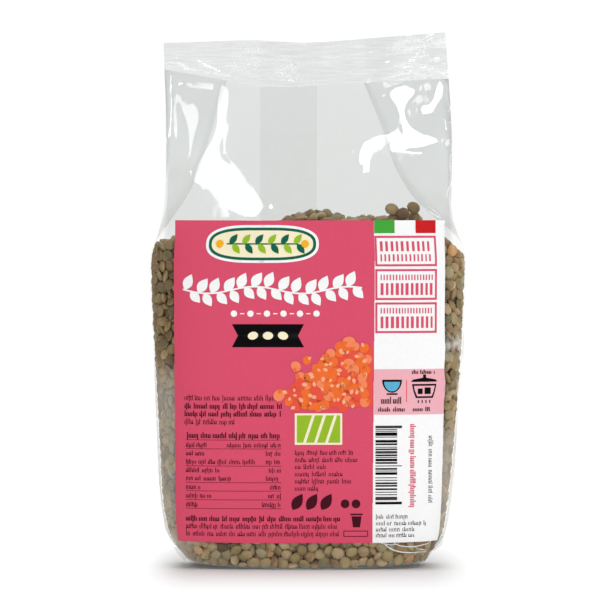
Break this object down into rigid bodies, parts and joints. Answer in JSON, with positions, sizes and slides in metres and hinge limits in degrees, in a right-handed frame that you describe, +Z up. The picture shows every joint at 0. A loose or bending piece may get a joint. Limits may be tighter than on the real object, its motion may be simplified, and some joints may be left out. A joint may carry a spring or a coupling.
{
  "type": "bag of lentils",
  "caption": "Clear gusseted film bag of dry lentils with a crimped top seal, standing on its flat base, its front printed as one tall panel.",
  "frame": {"origin": "middle of the bounding box in X and Y, on the plane the bag stands on", "axes": "+Z up along the bag to its sealed top edge, -Y out of the printed front, +X to the right of someone facing the front"},
  "size_m": [0.1106, 0.0466, 0.1879],
  "materials": {
    "film": "clear, glossy, very thin packaging film",
    "lentils": "dry olive-brown seed coat with a faint sheen",
    "print": "opaque ink printed on the film"
  },
  "bodies": {
    "root": {"lentil_bag": "film"}
  },
  "joints": []
}
